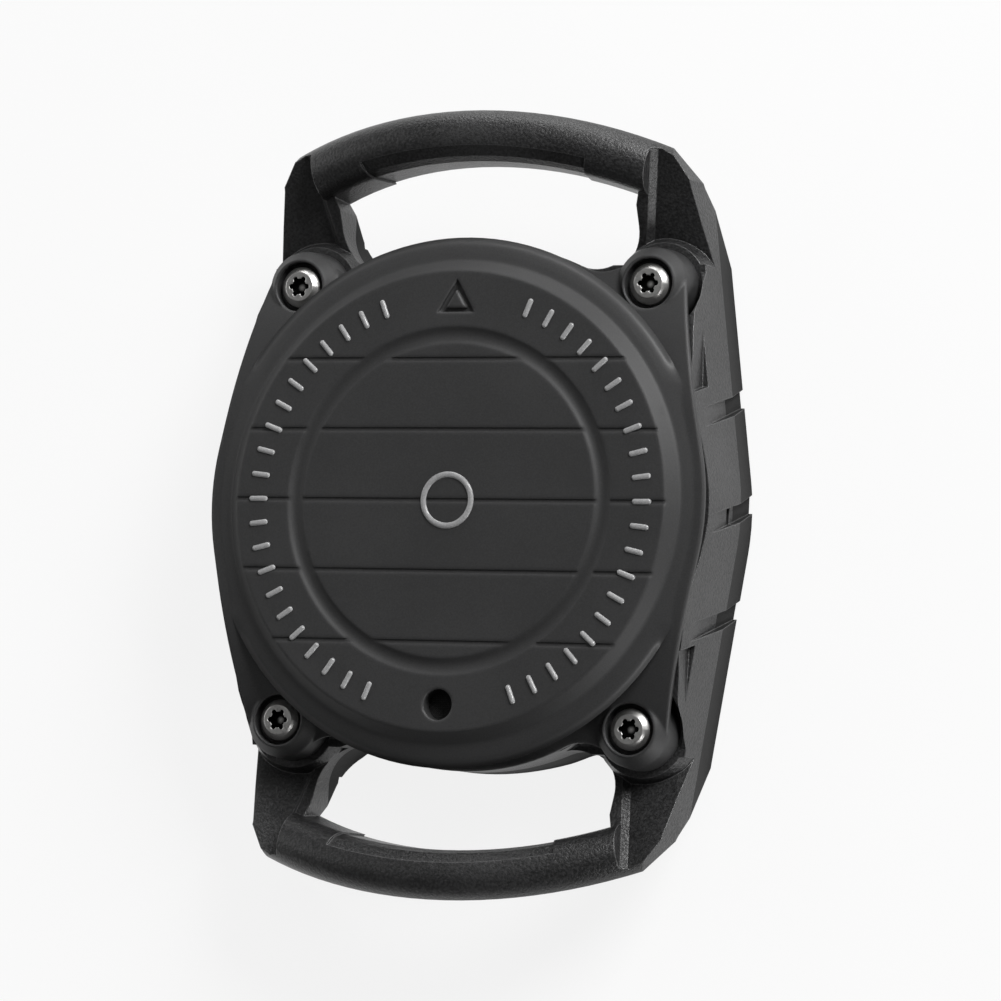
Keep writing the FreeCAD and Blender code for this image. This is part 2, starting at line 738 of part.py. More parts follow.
def leg_pocket():
    """Sloped pocket in the upper right leg, deepest beside the slot and ending at the screw boss."""
    start, level = value("leg_rise_start"), value("seat_height")
    inner = value("slot_half_width") + value("pocket_inset")
    outer = wall_across(value("leg_straight"))
    floor, roof = level - value("pocket_depth"), level + value("pocket_room")
    foot = inner + value("pocket_slope")
    corners = [(inner, level), (foot, floor), (outer, level), (outer, roof), (inner, roof)]
    wire = polygon([FreeCAD.Vector(across, start, height) for across, height in corners])
    angle = math.radians(value("leg_rise"))
    splay = math.tan(math.radians(value("pocket_splay")))
    slant = FreeCAD.Vector(splay * math.cos(angle), math.cos(angle), math.sin(angle))
    block = extruded("leg_pocket_block", wire, slant, "pocket_run", "pocket_lead")
    x, y = "screw_across", "screw_along"
    boss = cone("pocket_boss", "boss_foot_radius", "boss_radius", "boss_foot", "seat_height", x, y)
    above = cylinder("pocket_boss_top", "boss_radius", "seat_height", "arch_height", x, y)
    below = cylinder("pocket_boss_foot", "boss_foot_radius", "0", "boss_foot", x, y)
    return cut("leg_pocket", fuse("leg_hollows", block, leg_foot()), boss, above, below)


def underside():
    """Slanted space under the upper leg ends and bar."""
    start, end = value("underside_start"), value("bar_reach") + value("overrun")
    slope = math.tan(math.radians(value("underside_tilt")))
    below = value("overrun")
    wire = polygon([FreeCAD.Vector(0, start - below, -below * slope), FreeCAD.Vector(0, end, -below * slope),
                    FreeCAD.Vector(0, end, (end - start) * slope)])
    return extruded("underside", wire, ACROSS, "wall_radius", "wall_radius")


def both_ways(name, item):
    """An object with its mirror images in X, in Y and in both."""
    across = mirrored(f"{name}_across", item, ACROSS)
    along = mirrored(f"{name}_along", item, ALONG)
    opposite = mirrored(f"{name}_opposite", across, ALONG)
    return [item, across, along, opposite]


def screw_wells():
    """Holes in the four bosses: a seat for each insert and room below it for the screw's tip."""
    wells = []
    for corner, (sign_x, sign_y) in CORNERS.items():
        x, y = f"{sign_x} * screw_across", f"{sign_y} * screw_along"
        wells.append(cylinder(f"{corner}_insert_seat", "insert_radius", "insert_foot", "arch_height", x, y))
        wells.append(cylinder(f"{corner}_tip_room", "thread_radius", "screw_well_foot", "arch_height", x, y))
        wells.append(cone(f"{corner}_ear_room", "ear_room_radius", "ear_room_radius + ear_flare",
                          "seat_height", "arch_height", x, y))
    return wells


def base_frame():
    """Moulded frame: tag cup, screw bosses, legs and the two strap bars in one piece."""
    hull = extruded("hull", frame_outline(), UP, "upper_wall", "parting_height", z="parting_height",
                    TaperAngle="-upper_draft", TaperAngleRev="-lower_draft")
    crown = crown_block("crown")
    blank = common("blank", hull, fuse("arch_and_crown", arch_slab("arch"), crown))
    slot = strap_slot()
    front = leg_front()
    slotted = cut("slotted", blank, slot, mirrored("lower_slot", slot, ALONG),
                  front, mirrored("lower_leg_front", front, ALONG))
    bar = common("trimmed_bar", strap_bar(), bar_limit())
    barred = fuse("barred", slotted, bar, mirrored("lower_strap_bar", bar, ALONG))
    cover_block = cover_prism("cover_room_block", "cover_room_radius", "flange_ear_room_radius",
                              "seat_height", "arch_height + 2 * overrun")
    cover_room = cut("cover_room", cover_block, crown)
    plug_room = cylinder("plug_room", "plug_room_radius", "seat_height", "arch_height + 2 * overrun")
    tag_room = cylinder("tag_room", "cavity_radius", "floor_thickness", "arch_height + 2 * overrun")
    groove_outer = cylinder("seal_groove_outer", "seal_outer_radius + seal_play", "seal_foot", "arch_height")
    groove_inner = cylinder("seal_groove_inner", "seal_inner_radius - seal_play", "seal_foot - overrun",
                            "arch_height + overrun")
    seal_groove = cut("seal_groove", groove_outer, groove_inner)
    notches = side_notches()
    lower_flank = flank_recess("lower_flank", -1, value("lower_flank_shift"))
    flanks = fuse("right_flanks", flank_recess("upper_flank", 1), lower_flank)
    slant = underside()
    return cut("base_frame", barred, cover_room, plug_room, tag_room, seal_groove, seam_dip(),
               *screw_wells(), notches, mirrored("left_notches", notches, ACROSS),
               flanks, mirrored("left_flanks", flanks, ACROSS),
               slant, mirrored("lower_underside", slant, ALONG),
               *both_ways("leg_pocket", leg_pocket()))


def front_cover():
    """Moulded front cover: eared plate with a raised disc, over a plug that closes the cup."""
    plate = cover_prism("cover_plate", "cover_radius", "flange_ear_radius", "seat_height", "face_front")
    flange = cut("flange", common("flange_plate", plate, crown_block("flange_top", "flange_lift")),
                 crown_block("lip_room", "seam_gap"))
    plug = cylinder("plug", "plug_radius", "seat_height", "skirt_foot")
    ears = []
    for corner, (sign_x, sign_y) in CORNERS.items():
        x, y = f"{sign_x} * screw_across", f"{sign_y} * screw_along"
        ears.append(cone(f"{corner}_ear", "ear_radius", "ear_shoulder_radius", "seat_height", "ear_shoulder",
                         x, y))
        ears.append(cone(f"{corner}_ear_crown", "ear_shoulder_radius", "ear_rim_radius", "ear_shoulder",
                         "ear_rim", x, y))
    skirt = cone("skirt", "cover_radius", "disc_radius", "skirt_foot", "disc_foot")
    disc = cone("disc", "disc_radius", "disc_top_radius", "disc_foot", "face_front")
    solid = fuse("cover_solid", flange, plug, skirt, disc, *ears)
    return cut("front_cover", solid, *cover_cuts())


def cover_cuts():
    """Everything that is sunk into the cover."""
    tools = [cylinder("cover_room_for_tag", "cavity_radius", "seat_height - overrun", "face_back"),
             cylinder("membrane_room", "membrane_room_radius", "membrane_room_foot", "face_back",
                      "0", "-port_place")]
    for corner, (sign_x, sign_y) in CORNERS.items():
        x, y = f"{sign_x} * screw_across", f"{sign_y} * screw_along"
        tools.append(cylinder(f"{corner}_counterbore", "counterbore_radius", "head_seat", "counterbore_top",
                              x, y))
        tools.append(cylinder(f"{corner}_screw_hole", "screw_hole_radius", "seat_height - overrun",
                              "face_front", x, y))
    tools.append(add("Part::Torus", "ring_groove", Radius1="ring_groove_radius", Radius2="ring_groove_round",
                     z="ring_groove_height"))
    for index in range(RIB_COUNT):
        place = f"{index - RIB_COUNT // 2} * rib_pitch"
        tools.append(box(f"rib_line_{index + 1}", "2 * disc_radius", "rib_width", "face_front - rib_depth",
                         "face_front + overrun", "0", place))
    tools.append(cylinder("port", "port_radius", "face_back - overrun", "face_front + overrun",
                          "0", "-port_place"))
    tools.append(alignment_mark())
    return tools


def alignment_mark():
    """Outline of a triangle, sunk into the disc at its upper edge."""
    middle = value("mark_place")
    half_width, half_height = value("mark_width") / 2, value("mark_height") / 2
    line = value("mark_line")
    foot_share = (half_width - 2 * line) / half_width

    def triangle(share):
        base = middle - half_height
        low = base + (1 - share) * half_height * foot_share
        return polygon([FreeCAD.Vector(-half_width * share, low, 0),
                        FreeCAD.Vector(half_width * share, low, 0),
                        FreeCAD.Vector(0, low + 2 * half_height * share, 0)])
    outer = extruded("mark_outer", triangle(1), UP, "mark_depth + overrun", z="face_front - mark_depth")
    inner = extruded("mark_inner", triangle(foot_share), UP, "mark_depth + 3 * overrun",
                     z="face_front - mark_depth - overrun")
    return cut("mark", outer, inner)


def cover_screw(corner):
    """Pan-head screw with a six-lobe drive, turned about the underside of its head."""
    name = f"{corner}_screw"
    body = turned(name, [("0", "0"), ("screw_tip_radius", "0"), ("screw_radius", "screw_tip"),
                         ("screw_radius", "screw_length"), ("head_radius", "screw_length"),
                         ("head_radius", "screw_head_side"), ("head_flat_radius", "screw_head_top"),
                         ("0", "screw_head_top")])
    doc.recompute()
    core = sketch_on(body, f"{name}_drive_core", "XY_Plane")
    core.setExpression("AttachmentOffset.Base.z", bound("screw_head_top"))
    draw_circle(core, "drive_core_radius")
    drive = body.newObject("PartDesign::Pocket", f"{name}_drive")
    drive.Profile = core
    drive.setExpression("Length", bound("drive_depth"))
    doc.recompute()
    lobe = sketch_on(body, f"{name}_drive_lobe", "XY_Plane")
    lobe.setExpression("AttachmentOffset.Base.z", bound("screw_head_top"))
    draw_circle(lobe, "drive_lobe_radius", "drive_lobe_place")
    flute = body.newObject("PartDesign::Pocket", f"{name}_flute")
    flute.Profile = lobe
    flute.setExpression("Length", bound("drive_depth"))
    doc.recompute()
    ring = body.newObject("PartDesign::PolarPattern", f"{name}_flutes")
    ring.Originals = [flute]
    ring.Axis = (lobe, ["N_Axis"])
    ring.Angle = 360
    ring.Occurrences = LOBE_COUNT
    body.Tip = ring
    sign_x, sign_y = CORNERS[corner]
    stand(body, f"{sign_x} * screw_across", f"{sign_y} * screw_along", "head_seat - screw_length")
    return body


def thread_insert(corner):
    """Threaded insert with a waist between its two knurled bands."""
    body = turned(f"{corner}_insert", [
        ("thread_radius", "0"), ("insert_radius", "0"), ("insert_radius", "insert_band"),
        ("insert_groove_radius", "insert_band"), ("insert_groove_radius", "insert_groove_end"),
        ("insert_radius", "insert_groove_end"), ("insert_radius", "insert_length"),
        ("thread_radius", "insert_length")])
    sign_x, sign_y = CORNERS[corner]
    stand(body, f"{sign_x} * screw_across", f"{sign_y} * screw_along", "insert_foot")
    return body


def ring(name, outer, inner, low, high, y="0"):
    """Flat ring between two levels."""
    return cut(name, cylinder(f"{name}_outer", outer, low, high, "0", y),
               cylinder(f"{name}_inner", inner, f"{low} - overrun", f"{high} + overrun", "0", y))


def soft_pieces():
    """Seal, cushions and the sound port's membrane with its tape."""
    return [
        ring("cover_seal", "seal_outer_radius", "seal_inner_radius", "seal_foot", "seat_height"),
        cylinder("rear_cushion", "cushion_radius", "floor_thickness", "tag_back"),
        ring("front_cushion", "cushion_front_radius", "cushion_hole_radius", "tag_front", "face_back"),
        ring("membrane_tape", "membrane_radius", "tape_hole_radius", "tape_foot", "face_back",
             "-port_place"),
        cylinder("sound_membrane", "membrane_radius", "membrane_foot", "tape_foot", "0", "-port_place"),
    ]


def write_parts(parts):
    """Check every object and sub-part, then write one file per sub-part."""
    doc.recompute()
    failed = [item.Name for item in doc.Objects if {"Invalid", "Error"} & set(item.State)]
    if failed:
        raise RuntimeError(f"objects that did not build: {failed}")
    for part in parts:
        if part.Shape.isNull() or not part.Shape.isValid():
            raise RuntimeError(f"{part.Label} has no valid shape")
    os.makedirs("parts", exist_ok=True)
    for part in parts:
        part.Shape.exportStep(f"parts/{part.Label}.step")
        print(part.Label, "solids", len(part.Shape.Solids), "volume", round(part.Shape.Volume, 1))


write_parts([base_frame(), front_cover(),
             *(cover_screw(corner) for corner in CORNERS),
             *(thread_insert(corner) for corner in CORNERS),
             *soft_pieces()])
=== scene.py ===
"""Looks of a strap-mounted tag holder: moulded case, smoked cover, screws and soft inner pieces.

All lengths are metres in the frame of the solids: X across the strap, Y along it and Z out of the front.
The patterns of the finishes are worked out in millimetres.
"""
import logging
import math
from dataclasses import dataclass, field
from enum import Enum

import bpy
import numpy as np
from mathutils import Matrix, Vector


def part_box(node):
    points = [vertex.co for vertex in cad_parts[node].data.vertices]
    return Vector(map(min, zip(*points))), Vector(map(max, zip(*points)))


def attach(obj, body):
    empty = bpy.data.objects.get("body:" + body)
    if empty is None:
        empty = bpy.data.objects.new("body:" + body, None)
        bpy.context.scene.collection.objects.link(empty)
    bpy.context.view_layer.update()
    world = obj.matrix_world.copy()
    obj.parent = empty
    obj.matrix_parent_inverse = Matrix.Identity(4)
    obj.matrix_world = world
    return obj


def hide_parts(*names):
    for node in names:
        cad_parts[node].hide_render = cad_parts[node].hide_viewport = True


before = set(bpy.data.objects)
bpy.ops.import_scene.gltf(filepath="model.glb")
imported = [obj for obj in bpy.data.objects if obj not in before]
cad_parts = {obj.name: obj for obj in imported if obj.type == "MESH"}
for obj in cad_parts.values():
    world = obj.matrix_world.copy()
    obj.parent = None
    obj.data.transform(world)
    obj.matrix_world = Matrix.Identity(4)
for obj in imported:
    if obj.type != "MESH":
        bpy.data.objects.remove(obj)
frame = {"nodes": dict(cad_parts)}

LOG = logging.getLogger("tag_holder")
MM = 0.001
WELD_REACH = 0.001 * MM
ELLIPSE = 2.0
CORNERS = {"upper_right": (1, 1), "upper_left": (-1, 1), "lower_left": (-1, -1), "lower_right": (1, -1)}

Colour = tuple[float, float, float]
Point = tuple[float, float, float]
Span = tuple[float, float]


class Body(str, Enum):
    """Moving bodies that carry new pieces."""

    FRAME = "frame"
    COVER = "cover"


class Slot(str, Enum):
    """Finish slots of the record, one for each kind of new piece."""

    COVER = "cover_plastic"
    SEAL = "seal_rubber"
    CUSHION = "cushion_rubber"
    TAPE = "tape"
    MEMBRANE = "membrane_fabric"


class Shade:
    """A number that varies over a surface, with the usual operators."""

    def __init__(self, nodes: "Nodes", socket: bpy.types.NodeSocket) -> None:
        """Wraps an output socket of a node tree."""
        self.nodes = nodes
        self.socket = socket

    def _math(self, operation: str, first: "Shade | float", second: "Shade | float") -> "Shade":
        """Adds one Math node and wraps its result."""
        return self.nodes.shade("ShaderNodeMath", {"operation": operation}, {0: first, 1: second})

    def __add__(self, other: "Shade | float") -> "Shade":
        """Sum."""
        return self._math("ADD", self, other)

    def __radd__(self, other: float) -> "Shade":
        """Sum with a number on the left."""
        return self._math("ADD", other, self)

    def __sub__(self, other: "Shade | float") -> "Shade":
        """Difference."""
        return self._math("SUBTRACT", self, other)

    def __rsub__(self, other: float) -> "Shade":
        """Difference from a number on the left."""
        return self._math("SUBTRACT", other, self)

    def __mul__(self, other: "Shade | float") -> "Shade":
        """Product."""
        return self._math("MULTIPLY", self, other)

    def __rmul__(self, other: float) -> "Shade":
        """Product with a number on the left."""
        return self._math("MULTIPLY", other, self)

    def __pow__(self, other: "Shade | float") -> "Shade":
        """Power."""
        return self._math("POWER", self, other)

    def wave(self) -> "Shade":
        """Sine of the number, in radians."""
        return self._math("SINE", self, 0.0)

    def ramp(self, low: float, high: float) -> "Shade":
        """Smooth step from 0 at low to 1 at high.

        Args:
            low: Value that becomes 0.
            high: Value that becomes 1.

        Returns:
            The stepped number, kept between 0 and 1.
        """
        settings = {"interpolation_type": "SMOOTHSTEP", "clamp": True}
        sockets = {"Value": self, "From Min": low, "From Max": high}
        return self.nodes.shade("ShaderNodeMapRange", settings, sockets)


class Nodes:
    """A node tree that is emptied and filled anew."""

    def __init__(self, tree: bpy.types.NodeTree) -> None:
        """Empties the tree of a material or a world."""
        self.tree = tree
        self.tree.nodes.clear()

    def node(self, kind: str, settings: dict, sockets: dict) -> bpy.types.Node:
        """Adds any node.

        Args:
            kind: Node type.
            settings: Properties, set before the sockets.
            sockets: Values, Shades or sockets for the inputs, by name or index.

        Returns:
            The new node.
        """
        made = self.tree.nodes.new(kind)
        for key, value in settings.items():
            setattr(made, key, value)
        for key, value in sockets.items():
            self.feed(made.inputs[key], value)
        return made

    def feed(self, target: bpy.types.NodeSocket, value: object) -> None:
        """Links a Shade or socket to an input, or sets a constant there.

        Args:
            target: Input of a node.
            value: Shade, output socket, number, vector or colour.
        """
        if isinstance(value, Shade):
            self.tree.links.new(value.socket, target)
        elif isinstance(value, bpy.types.NodeSocket):
            self.tree.links.new(value, target)
        elif target.type == "RGBA":
            target.default_value = (*value, 1.0)
        else:
            target.default_value = value

    def shade(self, kind: str, settings: dict, sockets: dict, output: int | str = 0) -> Shade:
        """Adds a node and wraps one of its outputs."""
        return Shade(self, self.node(kind, settings, sockets).outputs[output])


class Paint(Nodes):
    """One node material with a Principled shader, and the means to feed it."""

    def __init__(self, name: str) -> None:
        """Starts an empty material.

        Args:
            name: The finish's name.
        """
        self.material = bpy.data.materials.new(name)
        self.material.use_nodes = True
        super().__init__(self.material.node_tree)
        self.shader = self.node("ShaderNodeBsdfPrincipled", {}, {})
        self.node("ShaderNodeOutputMaterial", {}, {"Surface": self.shader.outputs[0]})

    def place(self, axis: Span = (0.0, 0.0)) -> bpy.types.NodeSocket:
        """Object coordinates about an upright axis, in millimetres.

        Args:
            axis: Where the axis stands across and along the strap.

        Returns:
            The vector socket.
        """
        where = self.node("ShaderNodeTexCoord", {}, {}).outputs["Object"]
        shift = (-axis[0] / MM, -axis[1] / MM, 0.0)
        sockets = {"Vector": where, "Location": shift, "Scale": (1.0 / MM,) * 3}
        return self.node("ShaderNodeMapping", {}, sockets).outputs[0]

    def parts(self, axis: Span = (0.0, 0.0)) -> list[Shade]:
        """Distances across, along and up from an upright axis, in millimetres."""
        made = self.node("ShaderNodeSeparateXYZ", {}, {"Vector": self.place(axis)})
        return [Shade(self, output) for output in made.outputs]

    def turn(self, across: Shade, along: Shade) -> Shade:
        """Angle about the axis, in radians."""
        return self.shade("ShaderNodeMath", {"operation": "ARCTAN2"}, {0: along, 1: across})

    def noise(self, per_mm: float, detail: float = 2.0, rough: float = 0.5) -> Shade:
        """Cloudy noise between 0 and 1.

        Args:
            per_mm: Clouds to the millimetre.
            detail: Layers of finer clouds.
            rough: Strength of the finer layers.

        Returns:
            The noise.
        """
        sockets = {"Vector": self.place(), "Scale": per_mm, "Detail": detail, "Roughness": rough}
        return self.shade("ShaderNodeTexNoise", {}, sockets)

    def blend(self, factor: "Shade | float", first: object, second: object) -> bpy.types.NodeSocket:
        """Colour between two colours."""
        # The Mix node's colours are its inputs 6 and 7 and its output 2.
        made = self.node("ShaderNodeMix", {"data_type": "RGBA"}, {0: factor, 6: first, 7: second})
        return made.outputs[2]

    def rounded_normal(self, radius: float) -> bpy.types.NodeSocket:
        """Normal that rolls over sharp edges as if they had a small radius."""
        return self.node("ShaderNodeBevel", {"samples": 8}, {"Radius": radius}).outputs[0]

    def edge(self, rounded: bpy.types.NodeSocket, gain: float) -> Shade:
        """Mask of 1 on edges, from how far the rounded normal leaves the true one.

        Args:
            rounded: Normal rolled over the edges.
            gain: How soon the mask saturates.

        Returns:
            The mask, from 0 on flats to 1 on edges.
        """
        true = self.node("ShaderNodeNewGeometry", {}, {}).outputs["Normal"]
        settings = {"operation": "DOT_PRODUCT"}
        agree = self.shade("ShaderNodeVectorMath", settings, {0: true, 1: rounded}, "Value")
        return ((1.0 - agree) * gain).ramp(0.0, 1.0)

    def bump(self, height: Shade, depth: float,
             normal: bpy.types.NodeSocket | None = None) -> bpy.types.NodeSocket:
        """Normal of a fine relief.

        Args:
            height: The relief's height, about 1 at its tops.
            depth: Depth of the relief in metres.
            normal: Normal that the relief lies on, if not the surface's own.

        Returns:
            The normal's socket.
        """
        sockets = {"Height": height, "Strength": 1.0, "Distance": depth}
        if normal is not None:
            sockets["Normal"] = normal
        return self.node("ShaderNodeBump", {}, sockets).outputs[0]

    def finish(self, **inputs: object) -> bpy.types.Material:
        """Feeds the shader.

        Args:
            **inputs: Values by socket name, with underscores for its spaces.

        Returns:
            The finished material.
        """
        for key, value in inputs.items():
            self.feed(self.shader.inputs[key.replace("_", " ")], value)
        return self.material


@dataclass(frozen=True)
class MouldedPlastic:
    """Moulded plastic with an eroded grain, cloudy tone and polished edges, made paler partly by wear and
    partly by a painted highlight.

    Below the parting level of its mould the plastic is plain and duller, and its colour is darker as a
    painted shade.
    """

    name: str
    deep: Colour
    pale: Colour
    # worn is the edge colour: partly wear, partly a painted highlight.
    worn: Colour
    grain_per_mm: float
    grain_depth: float
    rough_low: float
    rough_high: float
    edge_radius: float
    specular: float = 0.5
    parting: float = 0.0
    parting_blur: float = 0.03 * MM
    # back is a painted shade for the plastic below the parting level.
    back: Colour = (0.003, 0.003, 0.003)
    back_rough: float = 0.8
    back_grain: float = 0.4
    cloud_per_mm: float = 0.12
    cloud_tone: float = 0.35
    cloud_rough: float = 0.5
    tone_steps: Span = (0.35, 0.65)
    scuff_per_mm: float = 0.6
    scuff_steps: Span = (0.58, 0.75)
    scuff_wear: float = 0.4
    scuff_rough: float = 0.06
    edge_gain: float = 6.0
    edge_wear_and_highlight: float = 0.35
    edge_polish: float = 0.1

    def material(self) -> bpy.types.Material:
        """Builds the node material.

        Returns:
            The finished material.
        """
        paint = Paint(self.name)
        _, _, up = paint.parts()
        front = up.ramp((self.parting - self.parting_blur) / MM, (self.parting + self.parting_blur) / MM)
        grain = paint.noise(self.grain_per_mm, detail=3.0, rough=0.6)
        cloud = paint.noise(self.cloud_per_mm, detail=4.0)
        scuff = paint.noise(self.scuff_per_mm, detail=6.0, rough=0.7).ramp(*self.scuff_steps)
        rolled = paint.rounded_normal(self.edge_radius)
        edge = paint.edge(rolled, self.edge_gain)
        mottle = cloud * self.cloud_tone + grain * (1.0 - self.cloud_tone)
        tone = paint.blend(mottle.ramp(*self.tone_steps), self.deep, self.pale)
        # Below the parting level the tone gives way to back, a painted shade.
        tone = paint.blend(front, self.back, tone)
        # Edges take the worn colour, as wear and as a painted highlight.
        colour = paint.blend(edge * (self.edge_wear_and_highlight + self.scuff_wear * scuff), tone, self.worn)
        dullness = cloud * self.cloud_rough + grain * (1.0 - self.cloud_rough)
        rough = self.rough_low + (self.rough_high - self.rough_low) * dullness - self.edge_polish * edge
        rough = self.back_rough + (rough - self.back_rough) * front + self.scuff_rough * scuff
        relief = grain * (self.back_grain + (1.0 - self.back_grain) * front)
        return paint.finish(Base_Color=colour, Roughness=rough, Specular_IOR_Level=self.specular,
                            Normal=paint.bump(relief, self.grain_depth, rolled))


@dataclass(frozen=True)
class PlatedSteel:
    """Nickel-plated screw with turned rings on its head, painted shade in its drive recess and a rolled
    thread on its shank.
    """

    name: str
    axis: Span
    head_seat: float
    head_top: float
    seat_blur: float = 0.05 * MM
    drive_depths: Span = (0.05 * MM, 0.15 * MM)
    drive_reach: float = 0.9 * MM
    drive_blur: float = 0.02 * MM
    drive_middle: float = 0.35 * MM
    pitch: float = 0.4 * MM
    thread_depth: float = 0.12 * MM
    ring_pace: float = 70.0
    ring_share: float = 0.6
    ring_depth: float = 0.0015 * MM
    wander: float = 6.0
    wander_per_mm: float = 1.2
    scratch_per_mm: float = 9.0
    grime_per_mm: float = 1.6
    grime_steps: Span = (0.5, 0.72)
    grime_share: float = 0.7
    edge_radius: float = 0.1 * MM
    rough: float = 0.36
    ring_rough: float = 0.08
    grime_rough: float = 0.14
    drive_rough: float = 0.3
    bright: Colour = (0.62, 0.615, 0.6)
    dull: Colour = (0.2, 0.197, 0.19)
    # Colour of the painted shade in the drive recess.
    drive_shade: Colour = (0.006, 0.006, 0.006)

    def material(self) -> bpy.types.Material:
        """Builds the node material.

        Returns:
            The finished material.
        """
        paint = Paint(self.name)
        across, along, up = paint.parts(self.axis)
        down = up * -1.0
        reach = (across * across + along * along) ** 0.5
        circles = (reach * self.ring_pace + paint.noise(self.wander_per_mm) * self.wander).wave()
        scratches = paint.noise(self.scratch_per_mm, detail=3.0)
        rings = scratches * (1.0 - self.ring_share) + self.ring_share * circles
        seat = -self.head_seat / MM
        shank = down.ramp(seat, seat + self.seat_blur / MM)
        helix = (up * (2.0 * math.pi * MM / self.pitch) - paint.turn(across, along)).wave()
        grime = paint.noise(self.grime_per_mm, detail=5.0, rough=0.65).ramp(*self.grime_steps)
        fine = paint.bump(rings, self.ring_depth, paint.rounded_normal(self.edge_radius))
        shallow, deep = ((depth - self.head_top) / MM for depth in self.drive_depths)
        rim = -self.drive_reach / MM
        # The drive recess, but for its middle, is coloured dark as a painted shade.
        drive = down.ramp(shallow, deep) * (reach * -1.0).ramp(rim, rim + self.drive_blur / MM)
        drive = drive * reach.ramp(0.0, self.drive_middle / MM)
        plating = paint.blend(grime * self.grime_share, self.bright, self.dull)
        colour = paint.blend(drive, plating, self.drive_shade)
        rough = self.rough + self.ring_rough * rings + self.grime_rough * grime + self.drive_rough * drive
        return paint.finish(Base_Color=colour, Metallic=1.0, Roughness=rough,
                            Normal=paint.bump(helix * shank, self.thread_depth, fine))


@dataclass(frozen=True)
class KnurledBrass:
    """Threaded brass insert with a diamond knurl round its wall."""

    name: str
    axis: Span
    teeth: float = 26.0
    slant: float = 16.0
    knurl_depth: float = 0.06 * MM
    edge_radius: float = 0.08 * MM
    tarnish_per_mm: float = 1.1
    tarnish_steps: Span = (0.35, 0.75)
    rough: float = 0.26
    tarnish_rough: float = 0.2
    bright: Colour = (0.62, 0.43, 0.19)
    dull: Colour = (0.34, 0.22, 0.09)

    def material(self) -> bpy.types.Material:
        """Builds the node material.

        Returns:
            The finished material.
        """
        paint = Paint(self.name)
        across, along, up = paint.parts(self.axis)
        around = paint.turn(across, along) * self.teeth
        climb = up * self.slant
        knurl = (around + climb).wave() * (around - climb).wave()
        tarnish = paint.noise(self.tarnish_per_mm, detail=5.0, rough=0.6)
        colour = paint.blend(tarnish.ramp(*self.tarnish_steps), self.bright, self.dull)
        rough = self.rough + self.tarnish_rough * tarnish
        rolled = paint.rounded_normal(self.edge_radius)
        return paint.finish(Base_Color=colour, Metallic=1.0, Roughness=rough,
                            Normal=paint.bump(knurl, self.knurl_depth, rolled))


@dataclass(frozen=True)
class SoftRubber:
    """Seal rubber, closed-cell foam or adhesive film: pitted, matte and slightly dusty."""

    name: str
    deep: Colour
    dusty: Colour
    cell_per_mm: float
    cell_depth: float
    roughness: float
    cell_share: float = 0.2
    cell_polish: float = 0.08
    dust_per_mm: float = 0.35
    dust_steps: Span = (0.45, 0.8)
    dust_share: float = 0.6
    dust_rough: float = 0.12

    def material(self) -> bpy.types.Material:
        """Builds the node material.

        Returns:
            The finished material.
        """
        paint = Paint(self.name)
        sockets = {"Vector": paint.place(), "Scale": self.cell_per_mm, "Randomness": 1.0}
        cells = paint.shade("ShaderNodeTexVoronoi", {}, sockets, "Distance")
        dust = paint.noise(self.dust_per_mm, detail=5.0, rough=0.6)
        cover = dust.ramp(*self.dust_steps) * self.dust_share + cells * self.cell_share
        rough = self.roughness + self.dust_rough * dust - self.cell_polish * cells
        return paint.finish(Base_Color=paint.blend(cover, self.deep, self.dusty), Roughness=rough,
                            Normal=paint.bump(cells, self.cell_depth))


@dataclass(frozen=True)
class WovenMembrane:
    """Water-repellent cloth of fine square threads."""

    name: str
    thread: Colour = (0.02, 0.02, 0.02)
    # Colour between the threads, a painted shade.
    gap_shade: Colour = (0.006, 0.006, 0.006)
    gap_step: float = 0.5
    threads_per_mm: float = 7.0
    thread_height: float = 0.03 * MM
    slub_per_mm: float = 1.5
    slub_share: float = 0.3
    rough: float = 0.75
    slub_rough: float = 0.15

    def material(self) -> bpy.types.Material:
        """Builds the node material.

        Returns:
            The finished material.
        """
        paint = Paint(self.name)
        across, along, _ = paint.parts()
        pace = math.pi * self.threads_per_mm
        over = (across * pace).wave() * (along * pace).wave()
        weave = over * over
        slub = paint.noise(self.slub_per_mm, detail=4.0)
        # Between the threads the colour turns to a painted shade.
        worn = weave.ramp(0.0, self.gap_step) * ((1.0 - self.slub_share) + self.slub_share * slub)
        return paint.finish(Base_Color=paint.blend(worn, self.gap_shade, self.thread),
                            Roughness=self.rough + self.slub_rough * slub,
                            Normal=paint.bump(weave, self.thread_height))


class Surface:
    """A closed or open surface given by points on a grid of two parameters."""

    def __init__(self, points: np.ndarray, loop_u: bool, loop_v: bool) -> None:
        """Keeps a grid of points.

        Args:
            points: Rows and columns of points.
            loop_u: Whether the last row joins the first.
            loop_v: Whether the last column joins the first.
        """
        self.points = points
        self.loop_u = loop_u
        self.loop_v = loop_v

    def faces(self) -> np.ndarray:
        """Four-cornered faces between neighbouring grid points, wrapping where a parameter closes.

        Returns:
            Rows of four point numbers.
        """
        count_u, count_v = self.points.shape[:2]
        number = np.arange(count_u * count_v).reshape(count_u, count_v)
        if self.loop_u:
            number = np.concatenate([number, number[:1]], axis=0)
        if self.loop_v:
            number = np.concatenate([number, number[:, :1]], axis=1)
        corners = (number[:-1, :-1], number[1:, :-1], number[1:, 1:], number[:-1, 1:])
        return np.stack(corners, axis=-1).reshape(-1, 4)


